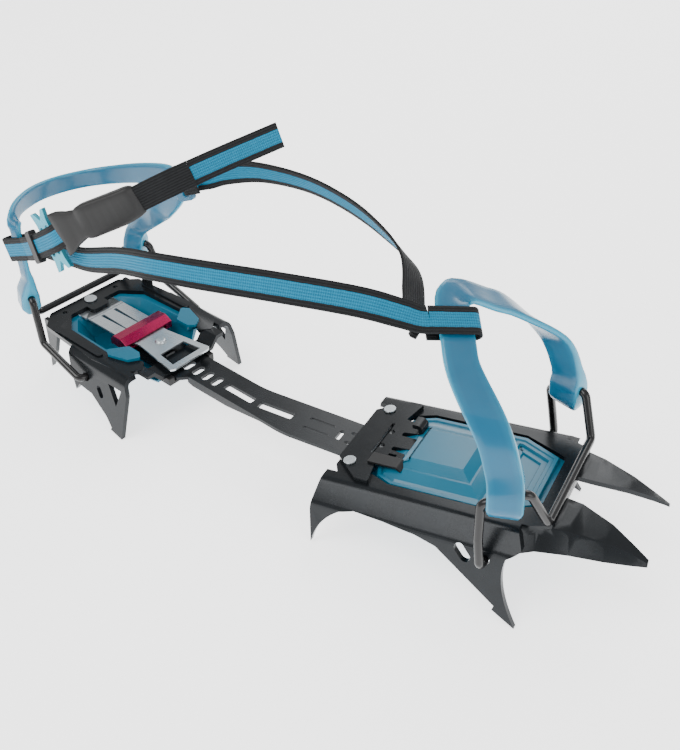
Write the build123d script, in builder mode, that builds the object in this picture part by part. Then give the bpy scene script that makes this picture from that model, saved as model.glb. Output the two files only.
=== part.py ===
from build123d import *
import os
from math import cos, radians, sin

os.makedirs("parts", exist_ok=True)

# Right-foot strap-on crampon. Millimetres. X points to the toe, Y to the inner side, Z up.
# The origin is on the ground under the hinge between the link bar and the front frame.

# ---- driving dimensions ----
sheet = 2.5                # thickness of the frame plates
front_tilt = 8.0           # upward slope of the front plate towards the toe, degrees
front_height = 32.0        # top of the front plate above the ground at the hinge
front_half = 30.5          # half width of the flat part of the front plate
flange_half = front_half + 11.5   # half width over the top of the side flanges
point_lean = 6.5           # how far a side point leans out from its flange to its tip
heel_yaw = 11.8            # turn of the heel section about Z, degrees
heel_start = 69.4          # the heel section's axis crosses the toe section's axis this far back
heel_top = 35.0            # top of the heel plate above the ground
bar_width = 24.0           # link bar
bar_thick = 2.0
bar_top = 27.0
hole_pitch = 7.2           # spacing of the size holes
hole_count = 10
hole_length = 8.0
hole_width = 4.0
stud_x = -71.5             # locking stud along the heel axis
stud_radius = 1.6
lever_under = 32.1         # underside of the spring lever
spring_thick = 1.2
wire = 4.0                 # bail wire diameter
webbing_width = 12.5
webbing_thick = 1.2
cage_width = 15.0          # width of the moulded cage bands
cage_thick = 3.0
pin_radius = 1.5

# ---- section planes ----
tilt = radians(front_tilt)
FRONT = Plane(origin=(0, 0, front_height), x_dir=(cos(tilt), 0, sin(tilt)),
              z_dir=(-sin(tilt), 0, cos(tilt)))
FRONT_SIDE = Plane(origin=(0, 0, front_height), x_dir=(cos(tilt), 0, sin(tilt)), z_dir=(0, -1, 0))
FRONT_CROSS = Plane(origin=(0, 0, front_height), x_dir=(0, 1, 0), z_dir=(cos(tilt), 0, sin(tilt)))
yaw = radians(heel_yaw)
HEEL = Plane(origin=(-heel_start, 0, 0), x_dir=(cos(yaw), -sin(yaw), 0), z_dir=(0, 0, 1))
HEEL_SIDE = Plane(origin=(-heel_start, 0, 0), x_dir=(cos(yaw), -sin(yaw), 0),
                  z_dir=(-sin(yaw), -cos(yaw), 0))
HEEL_CROSS = Plane(origin=(-heel_start, 0, 0), x_dir=(sin(yaw), cos(yaw), 0),
                   z_dir=(cos(yaw), -sin(yaw), 0))


def heel(x, y, z):
    """A point of the heel section, given in its own axes."""
    return HEEL.from_local_coords(Vector(x, y, z))


def heel_dir(x, y, z):
    """A direction of the heel section."""
    return heel(x, y, z) - heel(0, 0, 0)


def at(plane, offset):
    """The same plane moved along its normal."""
    return plane.offset(offset)


# ================= front frame: one bent and pierced steel sheet =================
with BuildPart() as front_frame:
    # side flanges: rolled over from the plate and leaning out down to the tips
    for side in (-1, 1):
        with BuildSketch(at(FRONT_CROSS, -20)):
            with BuildLine():
                FilletPolyline(
                    (side * (front_half - 2.8), -sheet / 2),
                    (side * (front_half + 3), -sheet / 2),
                    (side * flange_half, -9),
                    (side * (flange_half + point_lean), -50),
                    radius=4,
                )
            trace(line_width=sheet)
        extrude(amount=118)
    # outline of the flanges and the two pairs of side points, seen from the side
    with BuildSketch(FRONT_SIDE):
        with BuildLine():
            Polyline((84, 1), (-11, 1), (-13.5, -12), (-14.2, -30.3))
            Spline((-14.2, -30.3), (-7, -17), (2, -9.5))
            Polyline((2, -9.5), (9.5, -7.6), (24.5, -8.4), (40, -10.2), (50, -13.2), (77.4, -35.6),
                     (76.4, -37.8), (86.7, -44.4))
            Spline((86.7, -44.4), (82, -32), (80.3, -20), (82, -10))
            Polyline((82, -10), (88, -6), (84, 1))
        make_face()
    extrude(amount=70, both=True, mode=Mode.INTERSECT)
    # flat ring
    with BuildSketch(FRONT) as ring:
        with BuildLine():
            Polyline((-9, -23), (-4, -front_half), (88, -front_half), (97, -27), (97, 27),
                     (88, front_half),
                     (-4, front_half), (-9, 23), (-9, -23))
        make_face()
        fillet(ring.vertices(), 3)
        with BuildLine():
            Polyline((4, -17), (10, -23.5), (20, -27.5), (67, -27), (88.5, -17.5), (88.5, 17.5), (67, 27),
                     (20, 27.5), (10, 23.5), (4, 17), (4, -17))
        make_face(mode=Mode.SUBTRACT)
    extrude(amount=-sheet)
    # front points: chevron-section blades growing out of the front corners
    for side in (-1, 1):
        stations = (
            (84, (-28, -0.2), (-33.5, -1.0), (-40.2, -9)),
            (91, (-7, -0.1), (-27.5, -0.7), (-34, -10.5)),
            (104, (-8, -1.5), (-25.5, -2.6), (-29, -12.8)),
            (118, (-12, -5.2), (-22.5, -6.4), (-26, -14.2)),
            (128, (-16, -9.8), (-20.5, -11), (-22.5, -15.8)),
            (134.5, (-18, -14), (-19.6, -14.6), (-20.2, -16.5)),
        )
        for u, inner, ridge, foot in stations:
            thick = sheet if u < 130 else 1.2
            outer = [(side * -v, w) for v, w in (inner, ridge, foot)]
            under = [(side * -(foot[0] + thick), foot[1] + 0.4),
                     (side * -(ridge[0] + thick), ridge[1] - thick), (side * -inner[0], inner[1] - thick)]
            with BuildSketch(at(FRONT_CROSS, u)):
                Polygon(*outer, *under, align=None)
        loft(ruled=True)
    # ears' holes: one for the bail wire, one oblong
    with BuildSketch(FRONT_SIDE):
        with Locations((72.4, -13.0)):
            Circle(wire / 2 + 0.7)
        with Locations((62.5, -12.5)):
            SlotOverall(9.5, 5, rotation=-55)
    extrude(amount=60, both=True, mode=Mode.SUBTRACT)
    # lugs under the plate that carry the hinge pin
    for y in (13.3, -15.8):
        with BuildSketch(at(FRONT_SIDE, y)):
            Polygon((-6, -1), (4.5, -1), (3, -8.6), (-4, -8.6), align=None)
        extrude(amount=2.5)
    with Locations((0, 0, 26)):
        Cylinder(pin_radius + 0.02, 60, rotation=(90, 0, 0), mode=Mode.SUBTRACT)
    # rivet holes under the cross bracket
    with Locations(*[FRONT.from_local_coords(Vector(-2.3, s * 21.2, 0)) for s in (-1, 1)]):
        Cylinder(2.0, 12, rotation=(0, -front_tilt, 0), mode=Mode.SUBTRACT)
front_frame.part.label = "front_frame"
export_step(front_frame.part, "parts/front_frame.step")

# ================= front anti-balling plate =================
with BuildPart() as front_plate:
    with BuildSketch(at(FRONT, -sheet - 0.4)) as rim:
        with BuildLine():
            Polyline((6.5, -17), (10, -25), (20, -29.6), (68, -29.2), (88.6, -19), (88.6, 19), (68, 29.2),
                     (20, 29.6), (10, 25), (6.5, 17), (6.5, -17))
        make_face()
        fillet(rim.vertices(), 2)
    extrude(amount=-1.6)
    # dome standing up through the window
    with BuildSketch(at(FRONT, -sheet - 0.5)):
        with BuildLine():
            Polyline((8.5, -15.5), (11.5, -22.5), (20.6, -26.6), (66.6, -26.2), (87.6, -17), (87.6, 17),
                     (66.6, 26.2), (20.6, 26.6), (11.5, 22.5), (8.5, 15.5), (8.5, -15.5))
        make_face()
    extrude(amount=2.9)
    with BuildSketch(at(FRONT, -0.3)):
        Polygon((24, -22), (62, -22.5), (76, -14), (76, 14), (62, 22.5), (24, 22), align=None)
    with BuildSketch(at(FRONT, 4.4)):
        Polygon((31, -12), (52, -13), (60, -8), (60, 8), (52, 13), (31, 12), align=None)
    loft()
    # belly bulging below the frame, which is what sheds the snow
    with BuildSketch(at(FRONT, -sheet - 1.6)):
        Polygon((14, -22), (68, -25), (86, -17), (86, 17), (68, 25), (14, 22), align=None)
    with BuildSketch(at(FRONT, -sheet - 7.5)):
        Polygon((24, -12), (56, -14), (68, -8), (68, 8), (56, 14), (24, 12), align=None)
    loft()
    # hollow inside
    with BuildSketch(at(FRONT, -sheet - 5.5)):
        Polygon((26, -11), (54, -12), (64, -7), (64, 7), (54, 12), (26, 11), align=None)
    with BuildSketch(at(FRONT, 1.6)):
        Polygon((30, -11), (54, -12), (62, -8), (62, 8), (54, 12), (30, 11), align=None)
    loft(mode=Mode.SUBTRACT)
front_plate.part.label = "front_plate"
export_step(front_plate.part, "parts/front_plate.step")

# ================= cross bracket holding the link bar =================
with BuildPart() as front_bracket:
    with BuildSketch(FRONT) as deck:
        with BuildLine():
            Polyline((-9, -19.5), (5, -31), (12, -31), (9, -17), (20, -15), (20, -8), (12, -7),
                     (12, -4.5), (21, -4), (21, 4),
                     (12, 4.5), (12, 7), (19, 8), (19, 15), (9, 17), (12, 31), (5, 31), (-9, 19.5),
                     (-9, -19.5))
        make_face()
        fillet(deck.vertices(), 0.9)
        # cross slit and its two round ends
        with Locations((4.5, 0)):
            SlotOverall(24, 1.6, rotation=90, mode=Mode.SUBTRACT)
        with Locations((6.2, -5.5), (6.2, 5.5)):
            Circle(1.7, mode=Mode.SUBTRACT)
        with Locations((14.5, -11.5)):
            Rectangle(4, 3.6, mode=Mode.SUBTRACT)
    extrude(amount=2.2)
    # inner-side finger curls up into a hook
    with BuildSketch(at(FRONT_SIDE, -15)):
        with BuildLine():
            FilletPolyline((14, 1.1), (20.6, 1.1), (20.6, 6.2), (16.6, 6.2), radius=1.9)
        trace(line_width=2.2)
    extrude(amount=7)
    # rivet holes
    with Locations(*[FRONT.from_local_coords(Vector(-2.3, s * 21.2, 1)) for s in (-1, 1)]):
        Cylinder(2.0, 8, rotation=(0, -front_tilt, 0), mode=Mode.SUBTRACT)
front_bracket.part.label = "front_bracket"
export_step(front_bracket.part, "parts/front_bracket.step")

# rivets of the bracket, the hinge pin and the black retaining clip
for name, side in (("bracket_rivet_right", -1), ("bracket_rivet_left", 1)):
    with BuildPart() as rivet:
        with Locations(FRONT.from_local_coords(Vector(-2.3, side * 21.2, -0.3))):
            Cylinder(2.0, 6.2, rotation=(0, -front_tilt, 0))
        with Locations(FRONT.from_local_coords(Vector(-2.3, side * 21.2, 2.75))):
            Cylinder(3.0, 1.1, rotation=(0, -front_tilt, 0))
        with Locations(FRONT.from_local_coords(Vector(-2.3, side * 21.2, -3.1))):
            Cylinder(2.8, 1.1, rotation=(0, -front_tilt, 0))
    rivet.part.label = name
    export_step(rivet.part, f"parts/{name}.step")

with BuildPart() as hinge_pin:
    with Locations((0, 0, 26)):
        Cylinder(pin_radius, 34, rotation=(90, 0, 0))
    with Locations((0, -17.4, 26), (0, 17.4, 26)):
        Cylinder(2.6, 1.6, rotation=(90, 0, 0))
hinge_pin.part.label = "hinge_pin"
export_step(hinge_pin.part, "parts/hinge_pin.step")

with BuildPart() as bracket_clip:
    with BuildSketch(at(FRONT_SIDE, 12.5)):
        with BuildLine():
            FilletPolyline((6, 2.85), (20.6, 2.85), (22.8, 1.1), radius=0.9)
        trace(line_width=1.2)
    extrude(amount=7)
bracket_clip.part.label = "bracket_clip"
export_step(bracket_clip.part, "parts/bracket_clip.step")

# ================= link bar =================
with BuildPart() as link_bar:
    half = bar_width / 2
    with BuildSketch(Plane.XY.offset(bar_top - bar_thick)) as blank:
        with BuildLine():
            left = [heel(-99, half + 0.7, 0), heel(-4, half + 0.5, 0), Vector(2, half, 0)]
            right = [Vector(2, -half, 0), Vector(-46, -half, 0), heel(10, -6.8, 0), heel(-43, -6.8, 0),
                     heel(-47, 0.7 - half, 0), heel(-99, 0.7 - half, 0)]
            outline = [(p.X, p.Y) for p in left + right]
            Polyline(*outline, outline[0])
        make_face()
        # the bend in plan is a long curve, the other corners are small
        bend = blank.vertices().sort_by_distance((outline[1][0], outline[1][1], 0))[:1]
        fillet(bend, 70)
        fillet(blank.vertices().sort_by_distance((outline[4][0], outline[4][1], 0))[:1], 60)
        # size holes
        for n in range(hole_count):
            spot = heel(stud_x + hole_pitch * (6 - n), 0.7, 0)
            with Locations((spot.X, spot.Y)):
                SlotOverall(hole_length, hole_width, rotation=90 - heel_yaw, mode=Mode.SUBTRACT)
        # two large openings either side of the bend
        spot = heel(-12, 1.2, 0)
        with Locations((spot.X, spot.Y)):
            RectangleRounded(20, 4.6, 0.8, rotation=-heel_yaw, mode=Mode.SUBTRACT)
        with Locations((-57, 0.8)):
            RectangleRounded(20, 4.9, 0.8, rotation=-1, mode=Mode.SUBTRACT)
        # long twin slots, the cross slot and the short twin slots
        for y in (-3.7, 3.7):
            with Locations((-31.2, y)):
                SlotOverall(14.4, 1.7, mode=Mode.SUBTRACT)
            with Locations((-12, y)):
                SlotOverall(6, 2.0, mode=Mode.SUBTRACT)
        with Locations((-19.2, -0.3)):
            RectangleRounded(2.4, 7, 0.6, mode=Mode.SUBTRACT)
    extrude(amount=bar_thick)
    # stiffening lip under the outer edge, running out towards the toe
    with BuildSketch(at(HEEL_SIDE, 4.8)):
        Polygon((-43.5, bar_top), (12, bar_top), (10, 25), (-14, 22), (-40, 22), (-43.5, 23), align=None)
    extrude(amount=bar_thick)
    # rolled eye for the hinge pin
    with Locations((0, 0, 26)):
        Cylinder(3.0, bar_width, rotation=(90, 0, 0))
        Cylinder(pin_radius + 0.05, 60, rotation=(90, 0, 0), mode=Mode.SUBTRACT)
link_bar.part.label = "link_bar"
export_step(link_bar.part, "parts/link_bar.step")

# ================= heel frame: one bent and pierced steel sheet =================
with BuildPart() as rear_frame:
    plate = at(HEEL, heel_top - sheet)
    with BuildSketch(plate) as ring:
        with BuildLine():
            Polyline((-138, -24), (-129, -33), (-86, -36), (-64, -34), (-57, -25), (-62, -19.5),
                     (-78, -27), (-116, -26), (-128, -17),
                     (-128, 17), (-116, 26), (-78, 27), (-62, 19.5), (-57, 25), (-64, 34),
                     (-86, 36), (-129, 33), (-138, 24), (-138, -24))
        make_face()
        fillet(ring.vertices(), 1.8)
        # tongue behind the window that holds the spring
        with Locations((-128, 0)):
            RectangleRounded(12, 12, 2.5)
        with Locations((-132.4, 0)):
            Circle(2.0, mode=Mode.SUBTRACT)
        with Locations((-132.5, -18), (-132.5, 18)):
            Circle(1.4, mode=Mode.SUBTRACT)
    extrude(amount=sheet)
    # front cross bar dips down over the link bar
    with BuildSketch(at(HEEL_CROSS, -62)):
        with BuildLine():
            Polyline((-27, heel_top - 1.25), (-22.5, heel_top - 1.25), (-18, 28.4), (18, 28.4),
                     (22.5, heel_top - 1.25), (27, heel_top - 1.25))
        trace(line_width=2)
    extrude(amount=11.5)
    # rounded ridge along each side
    for side in (-1, 1):
        with BuildSketch(at(HEEL, heel_top)):
            with Locations((-103, side * 31)):
                SlotOverall(40, 4)
        extrude(amount=0.9)
rear_sheet = rear_frame.part

# side flanges with the front pair of heel points, the bail ears and a small tooth
with BuildPart() as heel_flanges:
    for side in (-1, 1):
        with BuildSketch(at(HEEL_CROSS, -108)):
            with BuildLine():
                FilletPolyline((side * 30, heel_top - 1.25), (side * 36.6, heel_top - 1.25),
                               (side * 38, 26), (side * 44.4, -3), radius=4)
            trace(line_width=sheet)
        extrude(amount=60)
    with BuildSketch(HEEL_SIDE):
        with BuildLine():
            Polyline((-104, heel_top), (-101, 22), (-96, 13), (-93.5, 17), (-83, 16), (-70, 8),
                     (-65.5, 3.2), (-66.2, 1.8), (-56.9, 0))
            Polyline((-56.9, 0), (-54.6, 26), (-57, heel_top), (-104, heel_top))
        make_face()
    extrude(amount=60, both=True, mode=Mode.INTERSECT)
    with BuildSketch(HEEL_SIDE):
        with Locations((-88, 24)):
            Circle(wire / 2 + 0.6)
        with Locations((-76, 20)):
            SlotOverall(7, 3.4, rotation=-55)
        Polygon((-69.5, 28), (-59, 28), (-62.5, 17.5), align=None)
    extrude(amount=60, both=True, mode=Mode.SUBTRACT)

# rear pair of heel points, hanging from the rear corners
with BuildPart() as heel_rear_points:
    for side in (-1, 1):
        with BuildSketch(at(HEEL_SIDE, side * 28 - 1.25)):
            Polygon((-136.6, heel_top), (-126, heel_top), (-127, 27), (-132, 14), (-139.6, 0),
                    (-137.4, 16), align=None)
        extrude(amount=sheet)

with BuildPart() as rear_frame_all:
    add(rear_sheet)
    add(heel_flanges.part)
    add(heel_rear_points.part)
    # inner side carries an upright stop beside the heel
    with BuildSketch(at(HEEL_SIDE, -33.2)):
        with BuildLine():
            Polyline((-124, heel_top - 1), (-124, 44), (-116, 44), (-116, heel_top - 1),
                     (-124, heel_top - 1))
        make_face()
    extrude(amount=1.6)
rear_frame_all.part.label = "rear_frame"
export_step(rear_frame_all.part, "parts/rear_frame.step")

# black guides that hold the link bar's edges
for name, side in (("bar_guide_right", -1), ("bar_guide_left", 1)):
    edge = bar_width / 2 + 0.4 + side * 0.7
    with BuildPart() as guide:
        with BuildSketch(at(HEEL_CROSS, -59)):
            Polygon((side * edge, 27.38), (side * (edge + 3.6), 27.38), (side * (edge + 3.6), 22.8),
                    (side * (edge - 3.2), 22.8),
                    (side * (edge - 3.2), 24.6), (side * edge, 24.6), align=None)
        extrude(amount=11)
    guide.part.label = name
    export_step(guide.part, f"parts/{name}.step")

# ================= heel anti-balling plate =================
with BuildPart() as rear_plate:
    with BuildSketch(at(HEEL, heel_top - sheet - 1.52)):
        Polygon((-131, -19), (-118, -29), (-78, -30), (-63, -22.5), (-63, 22.5), (-78, 30), (-118, 29),
                (-131, 19), align=None)
    extrude(amount=1.5)
    with BuildSketch(at(HEEL, heel_top - sheet - 1.5)):
        Polygon((-128, -17), (-116, -26), (-78, -27), (-62, -20), (-62, 20), (-78, 27), (-116, 26),
                (-128, 17), align=None)
    with BuildSketch(at(HEEL, 18.6)):
        Polygon((-120, -12), (-112, -17), (-76, -17), (-60, -14), (-60, 14), (-76, 17), (-112, 17),
                (-120, 12), align=None)
    loft()
    with BuildSketch(at(HEEL, heel_top)):
        Polygon((-127, -16), (-115.6, -24.6), (-77.6, -25.6), (-65, -19.6), (-65, 19.6), (-77.6, 25.6),
                (-115.6, 24.6), (-127, 16), align=None)
    with BuildSketch(at(HEEL, 20.2)):
        Polygon((-118.4, -11), (-111.5, -15), (-76, -15.4), (-58, -14.4), (-58, 14.4), (-76, 15.4),
                (-111.5, 15), (-118.4, 11), align=None)
    loft(mode=Mode.SUBTRACT)
    # open front for the link bar and its guides
    with BuildSketch(at(HEEL, 20.2)):
        with Locations((-60, 0.7)):
            Rectangle(14, 50)
    extrude(amount=16, mode=Mode.SUBTRACT)
    # notch at the back for the foot of the spring
    with BuildSketch(at(HEEL, 30.7)):
        with Locations((-128, 0)):
            Rectangle(24, 25)
    extrude(amount=4, mode=Mode.SUBTRACT)
    # two lozenge tabs snap over the frame's front corners
    for side in (-1, 1):
        with BuildSketch(at(HEEL, heel_top + 0.02)) as lozenge:
            with BuildLine():
                Polyline((-84, side * 26.5), (-80, side * 29.2), (-68, side * 25.5), (-64.6, side * 20),
                         (-68.4, side * 17), (-77, side * 17), (-84, side * 26.5))
            make_face()
            fillet(lozenge.vertices(), 1.5)
        extrude(amount=1.8)
        with BuildSketch(at(HEEL, heel_top - sheet - 1.5)):
            Polygon((-80.6, side * 24.6), (-78, side * 25.3), (-69.6, side * 20.8),
                    (-70.5, side * 18.4), (-77, side * 18.4), align=None)
        extrude(amount=sheet + 2)
rear_plate.part.label = "rear_plate"
export_step(rear_plate.part, "parts/rear_plate.step")

# ================= spring, lever and slider =================
with BuildPart() as spring_base:
    with BuildSketch(at(HEEL_SIDE, -12)):
        with BuildLine():
            Polyline((-137, 31.8), (-121.6, 31.8), (-120.4, lever_under + 0.6),
                     (-118.4, lever_under + 0.6))
        trace(line_width=spring_thick)
    extrude(amount=24)
    with BuildSketch(at(HEEL, 30)):
        with Locations((-132.4, 0)):
            Circle(2.02)
    extrude(amount=6, mode=Mode.SUBTRACT)
spring_base.part.label = "spring_base"
export_step(spring_base.part, "parts/spring_base.step")

with BuildPart() as spring_rivet:
    with Locations(heel(-132.4, 0, 33)):
        Cylinder(2.0, 5)
    with Locations(heel(-132.4, 0, heel_top + 0.55)):
        Cylinder(3.6, 1.1)
    with Locations(heel(-132.4, 0, 30.7)):
        Cylinder(3.0, 0.96)
spring_rivet.part.label = "spring_rivet"
export_step(spring_rivet.part, "parts/spring_rivet.step")

with BuildPart() as lock_lever:
    with BuildSketch(at(HEEL, lever_under)) as blade:
        with BuildLine():
            Polyline((-118, -12), (-84, -12), (-80, -9.8), (-77, -9.8), (-48, -14), (-46.5, -12),
                     (-46.5, 12), (-48, 14), (-77, 9.8), (-80, 9.8), (-84, 12), (-118, 12), (-118, -12))
        make_face()
        fillet(blade.vertices().group_by(Axis.X)[-1], 3)
        # two wedge slots leave a tongue in the spring
        for side in (-1, 1):
            Polygon((-116.5, side * 3.4), (-116.5, side * 5.4), (-95, side * 4.6), (-95, side * 4.0),
                    align=None, mode=Mode.SUBTRACT)
        # finger window
        Polygon((-62.5, -8.3), (-50.5, -9.8), (-50.5, 9.8), (-62.5, 8.3), align=None, mode=Mode.SUBTRACT)
        with Locations((stud_x, 0)):
            Circle(stud_radius + 0.02, mode=Mode.SUBTRACT)
    extrude(amount=spring_thick)
lock_lever.part.label = "lock_lever"
export_step(lock_lever.part, "parts/lock_lever.step")

with BuildPart() as lock_stud:
    with BuildSketch(at(HEEL, bar_top + 0.35)):
        with Locations((stud_x, 0)):
            Circle(stud_radius)
    extrude(amount=lever_under + spring_thick - bar_top)
    with BuildSketch(at(HEEL, lever_under + spring_thick + 0.01)):
        with Locations((stud_x, 0)):
            Circle(3.4)
    extrude(amount=1.4, taper=35)
    with BuildSketch(at(HEEL, lever_under - 1.2)):
        with Locations((stud_x, 0)):
            Circle(2.6)
    extrude(amount=1.19)
lock_stud.part.label = "lock_stud"
export_step(lock_stud.part, "parts/lock_stud.step")

with BuildPart() as lock_slider:
    with BuildSketch(at(HEEL_SIDE, -16.4)):
        Polygon((-94, 30.6), (-94, 34.2), (-91.6, 36.6), (-85.6, 37), (-80.9, 34.4), (-80.9, 30.6),
                align=None)
    extrude(amount=32.8)
    with BuildSketch(at(HEEL_CROSS, -100)):
        with Locations((0, lever_under + spring_thick / 2)):
            Rectangle(24.7, spring_thick + 0.8)
    extrude(amount=30, mode=Mode.SUBTRACT)
lock_slider.part.label = "lock_slider"
export_step(lock_slider.part, "parts/lock_slider.step")

# ================= bails =================
# each bail is one bent wire: hooked through an ear, up into a hump, down to the crossing bar and mirrored


def mirrored(points):
    """Right-side points followed by the same points on the left, in reverse order."""
    return [(x, -y, z) for x, y, z in points] + [(x, y, z) for x, y, z in reversed(points)]


toe_hump_rear = (69, 43.5, 60)
toe_hump_front = (86.5, 37, 68.5)
toe_side = [(73.5, flange_half - 3.4, 29.2), (73.5, flange_half + 7, 29.2), (71, flange_half + 5.4, 44),
            toe_hump_rear, toe_hump_front, (94.5, 30, 49)]
heel_hump_rear = (-141.7, 34, 50)
heel_hump_front = (-124.8, 40.2, 58.5)
heel_side = [(-88, 35.6, 24), (-88, 43.6, 24), (-118, 43.2, 34), heel_hump_front, heel_hump_rear,
             (-141.5, 29, 37)]

with BuildPart() as toe_bail:
    with BuildLine() as toe_wire:
        FilletPolyline(*mirrored(toe_side), radius=3.4)
    with BuildSketch(Plane(origin=toe_wire.line @ 0, z_dir=toe_wire.line % 0)):
        Circle(wire / 2)
    sweep(path=toe_wire.line)
toe_bail.part.label = "toe_bail"
export_step(toe_bail.part, "parts/toe_bail.step")

with BuildPart() as heel_bail:
    with BuildLine() as heel_wire:
        FilletPolyline(*[heel(*p) for p in mirrored(heel_side)], radius=3.4)
    with BuildSketch(Plane(origin=heel_wire.line @ 0, z_dir=heel_wire.line % 0)):
        Circle(wire / 2)
    sweep(path=heel_wire.line)
heel_bail.part.label = "heel_bail"
export_step(heel_bail.part, "parts/heel_bail.step")

# ================= moulded cages =================


def band_plane(point, along, across):
    """Section plane of a band: local X runs across the band, the normal runs along it."""
    along = Vector(*along).normalized()
    across = Vector(*across)
    across = (across - along * across.dot(along)).normalized()
    return Plane(origin=point, x_dir=across, z_dir=along)


def band_planes(stations):
    """Section planes for a list of (point, across) pairs, each facing along the run."""
    points = [Vector(*p) for p, _ in stations]
    planes = []
    for n, (_, across) in enumerate(stations):
        along = points[min(n + 1, len(points) - 1)] - points[max(n - 1, 0)]
        planes.append(band_plane(points[n], (along.X, along.Y, along.Z), across))
    return planes


EYE = Plane(origin=heel(-80, 34.2, 112.5), x_dir=heel_dir(0.92, 0.05, 0.39), z_dir=heel_dir(-0.05, 1, 0))

# toe cage: a chevron band from the right hump over the instep to the left hump
toe_half = [
    ((78.3, 40.9, 56.5), (17.5, -6.5, 8.5), 8.0),
    ((78.2, 40.6, 61), (17.5, -6.5, 8.5), 10.4),
    ((77.6, 40.3, 68.5), (17.5, -6.5, 8.5), 10.0),
    ((76, 39.8, 76), (1, -0.3, 0.25), 5.2),
    ((68.4, 37, 92), (1, -0.15, 0), cage_thick),
    ((51, 26.8, 108.6), (0.86, -0.4, -0.25), cage_thick),
    ((43.5, 17.3, 116), (0.73, -0.667, -0.15), cage_thick),
    ((36, 6.7, 123.5), (0.73, -0.667, -0.15), cage_thick),
]
toe_stations = [((x, -y, z), (a, -b, c), t) for (x, y, z), (a, b, c), t in toe_half]
toe_stations += [((33.5, 0, 123.8), (0.8, 0, -0.6), cage_thick + 1)]
toe_stations += [((x, y, z), (a, b, c), t) for (x, y, z), (a, b, c), t in reversed(toe_half)]

# heel cage: the same band turned to face back, from the right hump round the heel to the left hump
heel_stations = [
    ((-133.6, -37.4, 46), (17, -6, 9), 11, 8.0),
    ((-133.6, -37.3, 50.5), (17, -6, 9), 11.5, 10.4),
    ((-131.6, -37.6, 59), (17, -6, 9), 11, 10.0),
    ((-127.5, -38.4, 69), (1, -0.3, 0.1), 8, 5.2),
    ((-124.8, -40.4, 77), (1, 0, 0), 7, cage_thick),
    ((-124.8, -40.4, 98.5), (1, 0, 0), 7, cage_thick),
    ((-134, -33.5, 104), (0.25, 0, -0.97), 8, cage_thick),
    ((-144.5, -17.5, 103), (0.1, 0, -1), 9.5, cage_thick),
    ((-148.5, 0, 101.5), (0, 0, -1), 10, cage_thick),
    ((-143, 18, 101.5), (0, 0, -1), 10, cage_thick),
    ((-127, 29, 105), (0.1, 0, -1), 10.5, cage_thick),
    ((-105, 32.5, 111), (0.3, 0, -0.95), 11.5, cage_thick + 0.4),
    ((-88, 33.5, 113.5), (0.7, 0, -0.7), 12.5, cage_thick + 1),
    ((-86.5, 34.5, 105), (0.95, 0, 0.3), 12.5, cage_thick + 0.6),
    ((-99, 34.5, 91), (0.85, 0, 0.5), 12.5, cage_thick),
    ((-116, 36, 78), (0.9, 0, 0.4), 12, cage_thick),
    ((-129.5, 37.6, 67), (1, 0.3, 0.1), 11, 5.2),
    ((-132.2, 37.6, 59), (17, 6, 9), 12, 10.0),
    ((-133.6, 37.3, 50.5), (17, 6, 9), 12, 10.4),
    ((-133.6, 37.4, 46), (17, 6, 9), 11, 8.0),
]
heel_stations = [(tuple(heel(*p)), tuple(heel_dir(*a)), w, t) for p, a, w, t in heel_stations]

with BuildPart() as toe_cage:
    for plane, (_, _, thick) in zip(band_planes([(p, a) for p, a, _ in toe_stations]), toe_stations):
        with BuildSketch(plane):
            RectangleRounded(cage_width, thick, 1.2)
    loft(ruled=True)
    # the wire runs through each hook with room to rock
    with BuildSketch(Plane(origin=toe_wire.line @ 0, z_dir=toe_wire.line % 0)):
        Circle(wire / 2 + 1.2)
    sweep(path=toe_wire.line, mode=Mode.SUBTRACT)
toe_cage.part.label = "toe_cage"
export_step(toe_cage.part, "parts/toe_cage.step")

with BuildPart() as heel_cage:
    heel_planes = band_planes([(p, a) for p, a, _, _ in heel_stations])
    for plane, (_, _, width, thick) in zip(heel_planes, heel_stations):
        with BuildSketch(plane):
            RectangleRounded(width, thick, 1.2)
    loft(ruled=True)
    # rectangular eye at the left apex, for the webbing
    with BuildSketch(at(EYE, -1.8)):
        with Locations((-0.6, 0)):
            RectangleRounded(12.2, 19, 2)
        with Locations((1.2, 0)):
            Rectangle(3.8, 14.4, mode=Mode.SUBTRACT)
    extrude(amount=3.6)
    with BuildSketch(Plane(origin=heel_wire.line @ 0, z_dir=heel_wire.line % 0)):
        Circle(wire / 2 + 1.2)
    sweep(path=heel_wire.line, mode=Mode.SUBTRACT)
heel_cage.part.label = "heel_cage"
export_step(heel_cage.part, "parts/heel_cage.step")

# ================= webbing, buckle and grip =================


def webbing_fold(plane, arm, back, half_gap):
    """A flat U of webbing: two arms joined by a round fold, as wide as the webbing."""
    with BuildPart() as fold:
        with BuildSketch(at(plane, -webbing_width / 2)):
            with BuildLine():
                FilletPolyline((arm, half_gap), (back, half_gap), (back, -half_gap), (arm, -half_gap),
                               radius=half_gap * 0.92)
            trace(line_width=webbing_thick)
        extrude(amount=webbing_width)
    return fold.part


def webbing_run(stations):
    """A flat run of webbing through (point, across) stations."""
    with BuildPart() as run:
        for plane in band_planes(stations):
            with BuildSketch(plane):
                Rectangle(webbing_width, webbing_thick)
        loft(ruled=True)
    return run.part


# folds: round the toe cage, round the heel cage's right leg, through the eye on the left
toe_along = Vector(-0.5, 0.707, 0.5)
toe_out = Vector(0.746, 0.645, -0.166)
TOE_FOLD = Plane(origin=(39.75, -12, 119.75), x_dir=-toe_out, z_dir=toe_along)
HEEL_FOLD = Plane(origin=heel(-128, -40.4, 88.5), x_dir=heel_dir(0.927, 0, 0.375),
                  z_dir=heel_dir(-0.375, 0, 0.927))
EYE_FOLD = Plane(origin=EYE.origin, x_dir=EYE.x_dir, z_dir=EYE.y_dir)

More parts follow.
